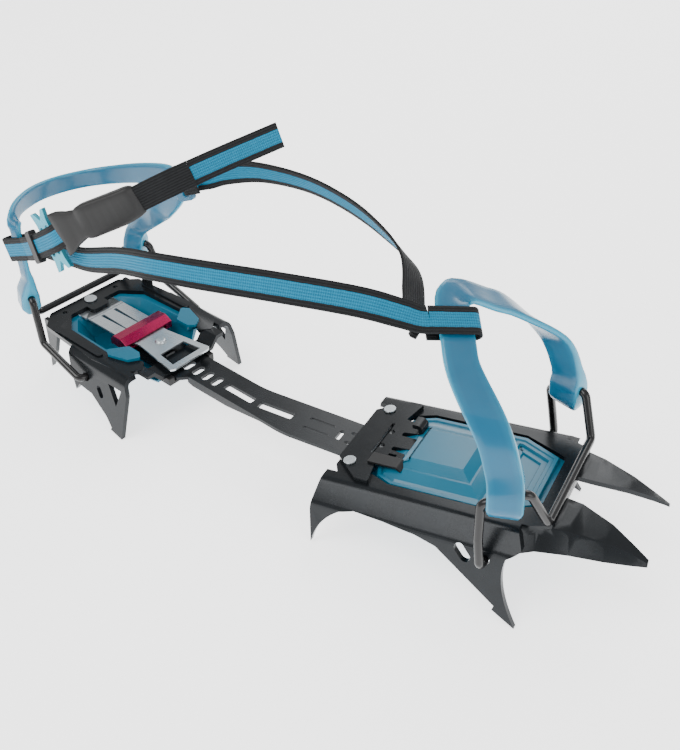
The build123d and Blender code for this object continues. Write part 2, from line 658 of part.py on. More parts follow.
strap_toe_fold = webbing_fold(TOE_FOLD, 12, -10.2, 3.0)
strap_toe_fold.label = "strap_toe_fold"
export_step(strap_toe_fold, "parts/strap_toe_fold.step")

strap_heel_fold = webbing_fold(HEEL_FOLD, 14, -6.6, 2.8)
strap_heel_fold.label = "strap_heel_fold"
export_step(strap_heel_fold, "parts/strap_heel_fold.step")

strap_eye_fold = webbing_fold(EYE_FOLD, 14, 1.2, 2.8)
strap_eye_fold.label = "strap_eye_fold"
export_step(strap_eye_fold, "parts/strap_eye_fold.step")

# right run, from the toe cage along the outer side of the ankle to the heel cage
toe_outer_end = TOE_FOLD.from_local_coords(Vector(12.45, 3.0, 0))
toe_inner_end = TOE_FOLD.from_local_coords(Vector(13.7, -3.0, 0))
heel_inner_end = HEEL_FOLD.from_local_coords(Vector(14.45, 2.8, 0))
heel_outer_end = HEEL_FOLD.from_local_coords(Vector(14.8, -2.8, 0))
eye_end = EYE_FOLD.from_local_coords(Vector(14.45, 2.8, 0))
if eye_end.Y < EYE.origin.Y:
    eye_end = EYE_FOLD.from_local_coords(Vector(14.45, -2.8, 0))

strap_right_run = webbing_run([
    (tuple(toe_outer_end), (-0.5, 0.707, 0.5)),
    (tuple(TOE_FOLD.from_local_coords(Vector(16, 3.0, 0))), (-0.5, 0.707, 0.5)),
    ((21, -26, 127.2), (-0.42, 0.66, 0.62)),
    ((5, -30.6, 130), (-0.25, 0.6, 0.75)),
    ((-25, -38.8, 131.8), (0, 0.55, 0.83)),
    ((-60, -46, 131.6), (0, 0.4, 0.92)),
    (tuple(heel(-7, -48, 128)), (0, 0.25, 0.97)),
    (tuple(heel(-33, -44.5, 119)), (-0.05, 0.15, 1)),
    (tuple(heel(-64.5, -40.4, 105.6)), (-0.1, 0.05, 1)),
    (tuple(heel(-84, -38.9, 100.4)), (-0.2, 0, 1)),
    (tuple(heel(-102, -37.9, 96.4)), (-0.3, 0, 1)),
    (tuple(HEEL_FOLD.from_local_coords(Vector(18, 2.8, 0))), tuple(heel_dir(-0.375, 0, 0.927))),
    (tuple(heel_inner_end), tuple(heel_dir(-0.375, 0, 0.927))),
])
strap_right_run.label = "strap_right_run"
export_step(strap_right_run, "parts/strap_right_run.step")

# left run, twisting as it climbs over the instep to the inner side of the heel cage
strap_left_run = webbing_run([
    (tuple(toe_inner_end), (-0.5, 0.707, 0.5)),
    ((23, -16.6, 119.6), (-0.6, 0.5, 0.6)),
    ((18, -5, 120.6), (-0.75, -0.1, 0.65)),
    ((6.5, 14, 125.6), (-0.65, -0.2, 0.75)),
    ((-16, 28, 130), (-0.4, -0.25, 0.85)),
    ((-38, 36, 133.5), (-0.2, -0.35, 0.9)),
    ((-62, 42, 134.5), (0, -0.4, 0.9)),
    ((-90, 46.5, 131.5), (0, -0.3, 0.95)),
    ((-112, 49, 125), (0, -0.1, 1)),
    (tuple(eye_end + EYE.x_dir * 4), tuple(EYE.y_dir * (1 if EYE.y_dir.Z > 0 else -1))),
    (tuple(eye_end), tuple(EYE.y_dir * (1 if EYE.y_dir.Z > 0 else -1))),
])
strap_left_run.label = "strap_left_run"
export_step(strap_left_run, "parts/strap_left_run.step")

# the right run comes back from its fold through the buckle and the grip and ends in a free tail
return_across = tuple(heel_dir(-0.5, 0.1, 0.86))
strap_return = webbing_run([
    (tuple(heel_outer_end), tuple(heel_dir(-0.375, 0, 0.927))),
    (tuple(heel(-104, -46.0, 99.5)), return_across),
    (tuple(heel(-91, -47.6, 106.9)), return_across),
    (tuple(heel(-79.2, -47.6, 114.2)), return_across),
])
strap_return.label = "strap_return"
export_step(strap_return, "parts/strap_return.step")

grip_across = [heel_dir(-0.5, 0.05, 0.86), heel_dir(-0.47, -0.1, 0.86), heel_dir(-0.4, -0.2, 0.88),
               heel_dir(-0.36, -0.22, 0.9)]
strap_tail = webbing_run([
    (tuple(heel(-42.1, -17.1, 138.1)), tuple(grip_across[3])),
    (tuple(heel(-35, -10, 143)), tuple(heel_dir(-0.3, -0.25, 0.9))),
    (tuple(heel(-22, 12, 151)), tuple(heel_dir(-0.25, -0.22, 0.93))),
    (tuple(heel(-8, 35, 159)), tuple(heel_dir(-0.2, -0.2, 0.95))),
])
strap_tail.label = "strap_tail"
export_step(strap_tail, "parts/strap_tail.step")

# ladder plate of the buckle: notched ends, bent rim and two slots
BUCKLE = band_plane(heel(-84.6, -44.9, 110.6), heel_dir(0.02, -1, 0.05), heel_dir(0.83, 0.05, 0.55))
with BuildPart() as buckle_plate:
    with BuildSketch(BUCKLE) as plate:
        with BuildLine():
            Polyline((-6.5, -15), (-3.8, -15), (0, -10.4), (3.8, -15), (6.5, -15), (5.2, -9.5),
                     (5.2, 9.5), (6.5, 15),
                     (3.8, 15), (0, 10.4), (-3.8, 15), (-6.5, 15), (-5.2, 9.5), (-5.2, -9.5), (-6.5, -15))
        make_face()
        with Locations((-2.6, 0), (2.6, 0)):
            RectangleRounded(2.2, webbing_width + 2, 0.9, mode=Mode.SUBTRACT)
    extrude(amount=1.0, both=True)
buckle_plate.part.label = "buckle_plate"
export_step(buckle_plate.part, "parts/buckle_plate.step")

# moulded pull grip over the webbing behind the buckle
grip_sections = zip(
    band_planes([
        (tuple(heel(-77.8, -47.4, 115.3)), tuple(grip_across[0])),
        (tuple(heel(-68, -41.6, 122.6)), tuple(grip_across[1])),
        (tuple(heel(-53, -27, 131)), tuple(grip_across[2])),
        (tuple(heel(-42.6, -17.6, 137.8)), tuple(grip_across[3])),
    ]),
    ((21, 2.6), (16.5, 5.6), (15, 6.2), (14.6, 5.0)),
)
with BuildPart() as strap_grip:
    for plane, (width, thick) in grip_sections:
        with BuildSketch(plane):
            Rectangle(width, thick)
    loft(ruled=True)
strap_grip.part.label = "strap_grip"
export_step(strap_grip.part, "parts/strap_grip.step")

# dark keeper band round the returning layer
KEEPER = band_plane(heel(-97.5, -46.8, 103.2), heel_dir(0.86, -0.05, 0.5), return_across)
with BuildPart() as strap_keeper:
    with BuildSketch(KEEPER):
        RectangleRounded(webbing_width + 4, 4, 1.2)
        Rectangle(webbing_width + 0.9, webbing_thick + 0.5, mode=Mode.SUBTRACT)
    extrude(amount=2.6, both=True)
strap_keeper.part.label = "strap_keeper"
export_step(strap_keeper.part, "parts/strap_keeper.step")
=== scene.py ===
"""Looks of a right-foot strap-on crampon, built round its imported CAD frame."""

import logging
import math
from dataclasses import dataclass, field
from enum import Enum
from typing import Callable, Iterable, Sequence

import bmesh
import bpy
from mathutils import Matrix, Vector


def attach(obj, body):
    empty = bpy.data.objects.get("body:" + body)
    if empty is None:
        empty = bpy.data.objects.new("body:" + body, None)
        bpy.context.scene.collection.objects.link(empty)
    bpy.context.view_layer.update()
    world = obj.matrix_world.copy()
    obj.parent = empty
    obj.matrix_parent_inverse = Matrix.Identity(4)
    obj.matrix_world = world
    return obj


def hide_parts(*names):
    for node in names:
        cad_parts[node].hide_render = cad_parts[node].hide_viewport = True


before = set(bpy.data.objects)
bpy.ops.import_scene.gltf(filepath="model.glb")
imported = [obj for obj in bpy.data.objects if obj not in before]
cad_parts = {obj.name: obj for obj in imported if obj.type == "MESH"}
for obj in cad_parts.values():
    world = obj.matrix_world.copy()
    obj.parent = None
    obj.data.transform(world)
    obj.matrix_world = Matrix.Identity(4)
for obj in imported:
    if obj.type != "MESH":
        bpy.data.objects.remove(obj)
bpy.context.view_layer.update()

LOG = logging.getLogger("crampon")
MM = 0.001
HEEL_YAW = math.radians(11.8)
HEEL_START = 69.4
WEB_WIDTH = 12.5
WEB_THICK = 1.2
EDGE_GLOW_FALL = 10              # how fast a band's painted edge glow fades towards its middle
SHARP = math.radians(40)   # faces that meet at more than this keep a hard edge


def heel(x: float, y: float, z: float) -> Vector:
    """A point of the heel section, in millimetres, turned into the object's axes."""
    return Vector((-HEEL_START, 0, 0)) + heel_dir(x, y, z)


def heel_dir(x: float, y: float, z: float) -> Vector:
    """A direction of the heel section, turned into the object's axes."""
    c, s = math.cos(HEEL_YAW), math.sin(HEEL_YAW)
    return Vector((c * x + s * y, -s * x + c * y, z))


# ---------------------------------------------------------------- shader maths


class Sock:
    """An output socket or a number that takes part in arithmetic."""

    def __init__(self, graph: "Graph", value: object) -> None:
        """Wraps a socket or a number of one node graph."""
        self.graph = graph
        self.value = value

    def _do(self, operation: str, *others: object, swap: bool = False) -> "Sock":
        """Adds one Math node.

        Args:
            operation: the Math node's operation.
            others: the other operands.
            swap: puts this socket after the other operand.

        Returns:
            The node's output.
        """
        terms = [self, *others]
        if swap:
            terms.reverse()
        return self.graph.node("ShaderNodeMath", {"operation": operation}, dict(enumerate(terms)))

    def __add__(self, other: object) -> "Sock":
        """Sum."""
        return self._do("ADD", other)

    __radd__ = __add__

    def __sub__(self, other: object) -> "Sock":
        """Difference."""
        return self._do("SUBTRACT", other)

    def __rsub__(self, other: object) -> "Sock":
        """Reflected difference."""
        return self._do("SUBTRACT", other, swap=True)

    def __mul__(self, other: object) -> "Sock":
        """Product."""
        return self._do("MULTIPLY", other)

    __rmul__ = __mul__

    def below(self, limit: float) -> "Sock":
        """1 where the value is under the limit."""
        return self._do("LESS_THAN", limit)

    def size(self) -> "Sock":
        """Absolute value."""
        return self._do("ABSOLUTE")

    def sine(self) -> "Sock":
        """Sine of the value in radians."""
        return self._do("SINE")

    def clamp(self) -> "Sock":
        """The value held between 0 and 1."""
        node = self * 1.0
        node.value.node.use_clamp = True
        return node


class Graph:
    """One material's node tree."""

    def __init__(self, name: str) -> None:
        """Starts a material with one Principled shader."""
        self.material = bpy.data.materials.new(name)
        self.material.use_nodes = True
        self.tree = self.material.node_tree
        self.shader = self.tree.nodes["Principled BSDF"]

    def node(self, kind: str, settings: dict | None = None, inputs: dict | None = None,
             output: int | str = 0) -> Sock:
        """Adds one node.

        Args:
            kind: the node's type.
            settings: attributes set first, such as an operation.
            inputs: values or links by socket name or number.
            output: which output to return.

        Returns:
            The chosen output.
        """
        made = self.tree.nodes.new(kind)
        for key, value in (settings or {}).items():
            setattr(made, key, value)
        for key, value in (inputs or {}).items():
            self._feed(made.inputs[key], value)
        return Sock(self, made.outputs[output])

    def _feed(self, socket: bpy.types.NodeSocket, value: object) -> None:
        """Links a socket or sets its value."""
        if isinstance(value, Sock):
            value = value.value
        if isinstance(value, bpy.types.NodeSocket):
            self.tree.links.new(value, socket)
        elif isinstance(value, tuple) and socket.type == "RGBA" and len(value) == 3:
            socket.default_value = (*value, 1.0)
        else:
            socket.default_value = value

    def attribute(self, name: str) -> Sock:
        """A number stored on the piece's vertices."""
        return self.node("ShaderNodeAttribute", {"attribute_name": name}, output="Fac")

    def place(self, scale: tuple[float, float, float] = (1, 1, 1)) -> Sock:
        """Object coordinates through a Mapping node that stretches them."""
        where = self.node("ShaderNodeTexCoord", output="Object")
        return self.node("ShaderNodeMapping", None, {"Vector": where, "Scale": scale})

    def noise(self, scale: float, detail: float = 3.0, at: Sock | None = None) -> Sock:
        """Noise between 0 and 1, its scale in cycles per metre."""
        return self.node("ShaderNodeTexNoise", None,
                         {"Vector": at or self.place(), "Scale": scale, "Detail": detail})

    def mix(self, factor: object, low: object, high: object) -> Sock:
        """Mixes two colours."""
        made = self.tree.nodes.new("ShaderNodeMix")
        made.data_type = "RGBA"
        for index, value in ((0, factor), (6, low), (7, high)):
            self._feed(made.inputs[index], value)
        return Sock(self, made.outputs[2])

    def bump(self, height: Sock, strength: float, distance: float) -> None:
        """Feeds a height into the shader's normal."""
        normal = self.node("ShaderNodeBump", None,
                           {"Height": height, "Strength": strength, "Distance": distance})
        self.set(Normal=normal)

    def set(self, **values: object) -> None:
        """Sets the shader's sockets; an underscore in a name stands for a space."""
        for key, value in values.items():
            self._feed(self.shader.inputs[key.replace("_", " ")], value)


# ---------------------------------------------------------------- finishes


@dataclass(frozen=True)
class Metal:
    """Sheet or turned metal with soft blotches and fine grain."""

    name: str
    dark: tuple[float, float, float]
    light: tuple[float, float, float]
    metallic: float = 0.85
    smooth: float = 0.3
    rough: float = 0.45
    grain: tuple[float, float, float] = (1, 1, 1)
    coat: float = 0.0
    bumpy: float = 0.14
    shine: float = 0.5

    def build(self) -> bpy.types.Material:
        """The material of this finish."""
        g = Graph(f"{self.name}_look")
        blotch = g.noise(38, 4)
        grain = g.noise(900, 2, g.place(self.grain))
        worn = g.noise(210, 5)
        g.set(Base_Color=g.mix((blotch * 0.7 + worn * 0.5 - 0.1).clamp(), self.dark, self.light),
              Metallic=self.metallic,
              Coat_Weight=self.coat,
              Specular_IOR_Level=self.shine,
              Roughness=(blotch * (self.rough - self.smooth) + grain * 0.12
                         + (self.smooth - 0.06)).clamp())
        g.bump(grain * 0.6 + worn * 0.4, self.bumpy, 0.00012)
        return g.material


@dataclass(frozen=True)
class Elastomer:
    """Moulded translucent or filled plastic with a fine orange-peel skin, and a painted glow of
    light along a band's edges.
    """

    name: str
    deep: tuple[float, float, float]
    pale: tuple[float, float, float]
    glow: float = 0.35
    rough: float = 0.38
    # colour of the painted edge glow, a painted highlight along a band's edges; left black, it
    # darkens a band's edges
    rim: tuple[float, float, float] = (0.0, 0.0, 0.0)
    body: float = 1.0

    def build(self) -> bpy.types.Material:
        """The material of this finish."""
        g = Graph(f"{self.name}_look")
        cloud = g.noise(26, 3)
        peel = g.noise(1400, 2)
        rim = g.attribute("rim")
        # painted highlight: a band's edges are mixed towards the edge glow colour, and the same
        # mask makes them more opaque
        g.set(Base_Color=g.mix(rim, g.mix(cloud, self.deep, self.pale), self.rim),
              Subsurface_Weight=self.glow,
              Subsurface_Radius=(0.6, 0.9, 1.0),
              Subsurface_Scale=0.004,
              Specular_IOR_Level=0.4,
              Roughness=(cloud * 0.14 + (self.rough - 0.07)).clamp())
        if self.body < 1.0:
            g.set(Alpha=(rim * (1 - self.body) + self.body).clamp())
        g.bump(peel, 0.12, 0.00008)
        return g.material


@dataclass(frozen=True)
class Woven:
    """Flat webbing: dark selvedges and, on one face, a ribbed stripe down the middle."""

    name: str
    dark: tuple[float, float, float]
    dark_thread: tuple[float, float, float]
    stripe: tuple[float, float, float]
    stripe_low: tuple[float, float, float]
    stripe_half: float = 3.3
    warp_pitch: float = 1.25
    rib_pitch: float = 0.95
    thread: float = 0.62

    def build(self) -> bpy.types.Material:
        """The material of this finish."""
        g = Graph(f"{self.name}_look")
        run = g.attribute("run")
        span = g.attribute("span")
        side = g.attribute("side")
        wobble = g.noise(420, 3)
        warp = (span * (2 * math.pi / self.warp_pitch)).sine()
        weft = (run * (2 * math.pi / self.thread) + warp * 0.9).sine()
        rib = (run * (2 * math.pi / self.rib_pitch) + wobble * 0.8).sine()
        inside = (span.size() + wobble * 0.5).below(self.stripe_half + 0.25)
        painted = inside * side.below(-0.25)
        dark_mix = g.mix((warp * 0.3 + weft * 0.12 + wobble * 0.4 + 0.15).clamp(),
                         self.dark, self.dark_thread)
        stripe_mix = g.mix((warp * 0.22 + rib * 0.2 + wobble * 0.35 + 0.38).clamp(),
                           self.stripe_low, self.stripe)
        g.set(Base_Color=g.mix(painted, dark_mix, stripe_mix),
              Roughness=0.72 - painted * 0.1,
              Specular_IOR_Level=0.2)
        g.bump(warp * 0.55 + weft * 0.2 * (1 - painted) + rib * painted * 0.4, 0.6, 0.0003)
        return g.material


class Finish(Enum):
    """The finishes by name, each with the slot name that its material is named after."""

    FRAME = ("frame_steel", Metal(
        "frame_steel", dark=(0.0035, 0.0045, 0.0055), light=(0.014, 0.017, 0.020),
        metallic=0.35, smooth=0.17, rough=0.3, shine=0.32))
    BAR = ("bar_steel", Metal(
        "bar_steel", dark=(0.004, 0.005, 0.006), light=(0.015, 0.018, 0.021),
        metallic=0.35, smooth=0.18, rough=0.32, grain=(0.15, 3, 1), shine=0.32))
    BRIGHT = ("bright_steel", Metal(
        "bright_steel", dark=(0.42, 0.46, 0.48), light=(0.66, 0.70, 0.72),
        metallic=0.9, smooth=0.22, rough=0.36, grain=(0.1, 4, 1)))
    WIRE = ("wire_steel", Metal(
        "wire_steel", dark=(0.002, 0.002, 0.0023), light=(0.005, 0.005, 0.0056),
        metallic=0.1, smooth=0.2, rough=0.26, bumpy=0.04))
    SLIDER = ("slider_metal", Metal(
        "slider_metal", dark=(0.26, 0.004, 0.045), light=(0.42, 0.010, 0.085),
        metallic=0.9, smooth=0.22, rough=0.34, coat=0.3))
    BUCKLE = ("buckle_metal", Metal(
        "buckle_metal", dark=(0.020, 0.21, 0.30), light=(0.06, 0.36, 0.46),
        metallic=0.6, smooth=0.22, rough=0.36))
    PLATE = ("plate_plastic", Elastomer(
        "plate_plastic", deep=(0.004, 0.105, 0.175), pale=(0.012, 0.17, 0.27),
        glow=0.1, rough=0.24))
    # the cage bands carry a painted edge glow: a brighter blue painted where they near their edges
    CAGE = ("cage_plastic", Elastomer(
        "cage_plastic", deep=(0.003, 0.085, 0.17), pale=(0.009, 0.15, 0.275),
        glow=0.12, rough=0.2, rim=(0.035, 0.29, 0.44), body=0.91))
    BLACK = ("black_plastic", Elastomer(
        "black_plastic", deep=(0.003, 0.003, 0.0034), pale=(0.009, 0.009, 0.010),
        glow=0.0, rough=0.5))
    GRIP = ("grip_rubber", Elastomer(
        "grip_rubber", deep=(0.008, 0.008, 0.0083), pale=(0.016, 0.016, 0.0165),
        glow=0.0, rough=0.5))
    WEB = ("webbing", Woven(
        "webbing", dark=(0.0035, 0.0037, 0.0042), dark_thread=(0.016, 0.018, 0.02),
        stripe=(0.0, 0.21, 0.37), stripe_low=(0.0, 0.085, 0.16)))

    def __init__(self, slot: str, finish: object) -> None:
        """Keeps the slot's name and the finish."""
        self.slot = slot
        self.finish = finish

    def material(self) -> bpy.types.Material:
        """The built material, made once."""
        return bpy.data.materials.get(f"{self.slot}_look") or self.finish.build()


# ---------------------------------------------------------------- mesh helpers


Section = Callable[[float, float], list[tuple[float, float]]]


@dataclass
class Station:
    """One section of a band: its place, its width direction and its size, in millimetres."""

    at: Vector
    across: Vector
    width: float = WEB_WIDTH
    thick: float = WEB_THICK


def blend_stations(stations: Sequence[Station], step: float) -> list[Station]:
    """Puts smooth in-between sections on a band.

    Args:
        stations: the given sections.
        step: spacing of the sections wanted, in millimetres.

    Returns:
        The sections along a curve through all of them.
    """
    out: list[Station] = []
    last = len(stations) - 1
    for i in range(last):
        four = [stations[max(i - 1, 0)], stations[i], stations[i + 1], stations[min(i + 2, last)]]
        count = max(2, round((four[2].at - four[1].at).length / step))
        for k in range(count):
            t = k / count
            w = (-0.5 * t + t * t - 0.5 * t ** 3, 1 - 2.5 * t * t + 1.5 * t ** 3,
                 0.5 * t + 2 * t * t - 1.5 * t ** 3, -0.5 * t * t + 0.5 * t ** 3)
            out.append(Station(
                sum((s.at * f for s, f in zip(four, w)), Vector()),
                sum((s.across * f for s, f in zip(four, w)), Vector()),
                four[1].width * (1 - t) + four[2].width * t,
                four[1].thick * (1 - t) + four[2].thick * t,
            ))
    out.append(stations[-1])
    return out


def soft_rectangle(corner: float, turns: int = 3) -> Section:
    """A rounded-rectangle section.

    Args:
        corner: corner radius in millimetres, cut down where the section is thin.
        turns: points along each corner.

    Returns:
        A function from width and thickness to the section's points.
    """
    def points(width: float, thick: float) -> list[tuple[float, float]]:
        r = min(corner, thick * 0.48, width * 0.48)
        out = []
        for sx, sy, start in ((1, -1, -90), (1, 1, 0), (-1, 1, 90), (-1, -1, 180)):
            for k in range(turns + 1):
                a = math.radians(start + 90 * k / turns)
                out.append((sx * (width / 2 - r) + r * math.cos(a),
                            sy * (thick / 2 - r) + r * math.sin(a)))
            if (sx, sy) in ((1, 1), (-1, -1)):
                # points across the faces carry the stripe's edges
                for part in (0.62, 0.2, -0.2, -0.62):
                    out.append((sx * part * (width / 2 - r), sy * thick / 2))
        return out
    return points


class Maker:
    """Builds one piece with bmesh operators and puts it in the scene."""

    def __init__(self, name: str) -> None:
        """Starts an empty piece."""
        self.name = name
        self.bm = bmesh.new()
        self.run = self.bm.verts.layers.float.new("run")
        self.span = self.bm.verts.layers.float.new("span")
        self.side = self.bm.verts.layers.float.new("side")
        # mask of the painted edge glow: how near each point is to its band's edge
        self.rim = self.bm.verts.layers.float.new("rim")

    def band(self, stations: Sequence[Station], section: Section,
             shape: Callable[[float, float], tuple[float, float]] | None = None) -> None:
        """Sweeps a section along a band and closes its ends.

        Args:
            stations: the sections in order.
            section: the section's outline for a width and thickness.
            shape: from run in millimetres and share of the length to factors on the
                width and the thickness.
        """
        rings = []
        travelled = 0.0
        total = sum((b.at - a.at).length for a, b in zip(stations, stations[1:]))
        for i, s in enumerate(stations):
            ahead = stations[min(i + 1, len(stations) - 1)].at - stations[max(i - 1, 0)].at
            along = ahead.normalized()
            x = (s.across - along * s.across.dot(along)).normalized()
            y = along.cross(x)
            if i:
                travelled += (s.at - stations[i - 1].at).length
            fw, ft = shape(travelled, travelled / total) if shape else (1.0, 1.0)
            ring = []
            for px, py in section(s.width * fw, s.thick * ft):
                v = self.bm.verts.new((s.at + x * px + y * py) * MM)
                v[self.run], v[self.span], v[self.side] = travelled, px, py
                # painted edge glow mask, rising steeply near the band's edges
                v[self.rim] = abs(2 * px / (s.width * fw)) ** EDGE_GLOW_FALL
                ring.append(v)
            rings.append([self.bm.edges.new((a, b)) for a, b in zip(ring, ring[1:] + ring[:1])])
        for a, b in zip(rings, rings[1:]):
            bmesh.ops.bridge_loops(self.bm, edges=a + b)
        for ring in (rings[0], rings[-1]):
            bmesh.ops.contextual_create(self.bm, geom=ring)

    def done(self, finish: Finish, body: str,
             stands_for: Iterable[str] = ()) -> bpy.types.Object:
        """Puts the piece in the scene on its body.

        Args:
            finish: its material.
            body: the CAD body it moves with.
            stands_for: CAD nodes it replaces.

        Returns:
            The piece.
        """
        bmesh.ops.recalc_face_normals(self.bm, faces=self.bm.faces)
        mesh = bpy.data.meshes.new(self.name)
        self.bm.to_mesh(mesh)
        self.bm.free()
        piece = bpy.data.objects.new(self.name, mesh)
        bpy.context.scene.collection.objects.link(piece)
        mesh.materials.append(finish.material())
        mesh.shade_smooth()
        mesh.set_sharp_from_angle(angle=SHARP)
        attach(piece, body)
        for node in stands_for:
            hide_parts(node)
        LOG.info("piece %s on %s", self.name, body)
        return piece


def soften(piece: bpy.types.Object, radius: float, segments: int, angle: float) -> None:
    """Rounds a piece's edges with a Bevel modifier.

    Args:
        piece: the piece.
        radius: edge radius in millimetres.
        segments: faces round each edge.
        angle: the smallest angle between faces, in degrees, that is rounded.
    """
    bevel = piece.modifiers.new("edge", "BEVEL")
    bevel.width, bevel.segments = radius * MM, segments
    bevel.limit_method = "ANGLE"
    bevel.angle_limit = math.radians(angle)
    bevel.harden_normals = True


def dress(node: str, finish: Finish, edge: float, body: str) -> bpy.types.Object:
    """A CAD node's merged copy with rounded edges and a finish.

    Args:
        node: the CAD node.
        finish: its material.
        edge: edge radius in millimetres.
        body: the body it moves with.

    Returns:
        The new piece.
    """
    maker = Maker(f"{node}_body")
    maker.bm.from_mesh(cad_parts[node].data)
    bm = maker.bm
    bmesh.ops.remove_doubles(bm, verts=bm.verts, dist=0.00002)
    bmesh.ops.dissolve_limit(bm, angle_limit=math.radians(1.5), verts=bm.verts, edges=bm.edges)
    piece = maker.done(finish, body, [node])
    soften(piece, edge, 2, 38)
    return piece


# ---------------------------------------------------------------- sub-assemblies


@dataclass
class SteelParts:
    """Every rigid metal and hard plastic part, carried over from the CAD with broken edges."""

    parts: dict[str, tuple[str, Finish, float]] = field(default_factory=lambda: {
        "front_frame": ("front_frame", Finish.FRAME, 0.35),
        "front_bracket": ("front_frame", Finish.BAR, 0.3),
        "bracket_rivet_right": ("front_frame", Finish.BRIGHT, 0.3),
        "bracket_rivet_left": ("front_frame", Finish.BRIGHT, 0.3),
        "hinge_pin": ("front_frame", Finish.BRIGHT, 0.25),
        "bracket_clip": ("front_frame", Finish.BLACK, 0.2),
        "link_bar": ("link_bar", Finish.BAR, 0.25),
        "rear_frame": ("rear_frame", Finish.FRAME, 0.35),
        "rear_plate": ("rear_frame", Finish.PLATE, 0.4),
        "bar_guide_right": ("rear_frame", Finish.BLACK, 0.3),
        "bar_guide_left": ("rear_frame", Finish.BLACK, 0.3),
        "spring_base": ("rear_frame", Finish.BRIGHT, 0.15),
        "spring_rivet": ("rear_frame", Finish.BRIGHT, 0.3),
        "lock_lever": ("lock_lever", Finish.BRIGHT, 0.15),
        "lock_stud": ("lock_lever", Finish.BRIGHT, 0.3),
        "lock_slider": ("lock_slider", Finish.SLIDER, 0.4),
        "toe_bail": ("toe_bail", Finish.WIRE, 0.3),
        "heel_bail": ("heel_bail", Finish.WIRE, 0.3),
        "buckle_plate": ("heel_cage", Finish.BUCKLE, 0.35),
        "strap_keeper": ("heel_cage", Finish.BLACK, 0.3),
    })

    def build(self) -> None:
        """Dresses every part."""
        for node, (body, finish, edge) in self.parts.items():
            dress(node, finish, edge, body)


@dataclass
class Plane:
    """A section plane: an origin and two directions."""

    origin: Vector
    x: Vector
    z: Vector

    def local(self, x: float, y: float, z: float = 0.0) -> Vector:
        """A point of the plane in the object's axes."""
        ux, uz = self.x.normalized(), self.z.normalized()
        return self.origin + ux * x + uz.cross(ux) * y + uz * z


@dataclass
class ToePlate:
    """The toe section's snow-shedding plate: a stepped dome with a sunk tray at its toe end."""

    tilt: float = math.radians(8.0)
    height: float = 32.0
    rim_top: float = -2.9
    rim_thick: float = 1.6
    tray_start: float = 63.0
    outline: tuple[tuple[float, float], ...] = (
        (6.5, -17), (10, -25), (20, -29.4), (68, -29), (88.4, -19),
        (88.4, 19), (68, 29), (20, 29.4), (10, 25), (6.5, 17),
    )

    def plane(self) -> Plane:
        """The plane of the toe section's sheet."""
        c, s = math.cos(self.tilt), math.sin(self.tilt)
        return Plane(Vector((0, 0, self.height)), Vector((c, 0, s)), Vector((-s, 0, c)))

    @staticmethod
    def step(bm: bmesh.types.BMesh, face: bmesh.types.BMFace, wide: float,
             up: float) -> bmesh.types.BMFace:
        """Insets one face and moves it along its normal.

        Args:
            bm: the mesh.
            face: the face.
            wide: width of the step in millimetres.
            up: height of the step in millimetres, negative for a sunk one.

        Returns:
            The face inside the step.
        """
        bmesh.ops.inset_region(bm, faces=[face], thickness=wide * MM, depth=up * MM,
                               use_even_offset=True)
        return face

    def build(self) -> None:
        """The whole plate as one closed moulding."""
        plane = self.plane()
        maker = Maker("front_plate_moulding")
        bm = maker.bm
        base = bm.faces.new([bm.verts.new(plane.local(x, y, self.rim_top - self.rim_thick) * MM)
                             for x, y in self.outline])
        up = plane.z.normalized()
        made = bmesh.ops.extrude_face_region(bm, geom=[base])["geom"]
        bmesh.ops.translate(bm, vec=up * self.rim_thick * MM,
                            verts=[v for v in made if isinstance(v, bmesh.types.BMVert)])
        bmesh.ops.recalc_face_normals(bm, faces=bm.faces)
        bm.normal_update()
        top = max(bm.faces, key=lambda f: f.calc_center_median().dot(up))
        belly = min(bm.faces, key=lambda f: f.calc_center_median().dot(up))
        belly = self.step(bm, belly, 6.0, 0.6)
        self.step(bm, belly, 9.0, 4.6)
        top = self.step(bm, top, 2.9, 0.0)
        top = self.step(bm, top, 0.3, 2.3)
        top = self.step(bm, top, 1.7, 0.0)
        top = self.step(bm, top, 0.5, -0.7)
        bmesh.ops.bisect_plane(bm, geom=[top, *top.edges, *top.verts], dist=0.00001,
                               plane_co=plane.local(self.tray_start, 0) * MM,
                               plane_no=plane.x.normalized())
        bm.normal_update()
        inner = sorted((f for f in bm.faces if len(f.verts) > 4 and f.normal.dot(up) > 0.99),
                       key=lambda f: f.calc_center_median().x)
        dome, tray = inner[0], inner[-1]
        for wide, rise in ((1.2, 0.9), (5.5, 2.0), (1.0, 0.1), (5.0, 2.6)):
            dome = self.step(bm, dome, wide, rise)
        for wide, rise in ((1.6, 0.0), (0.7, -1.3), (2.4, 0.0), (0.6, -1.0)):
            tray = self.step(bm, tray, wide, rise)
        piece = maker.done(Finish.PLATE, "front_frame", ["front_plate"])
        soften(piece, 0.45, 3, 12)


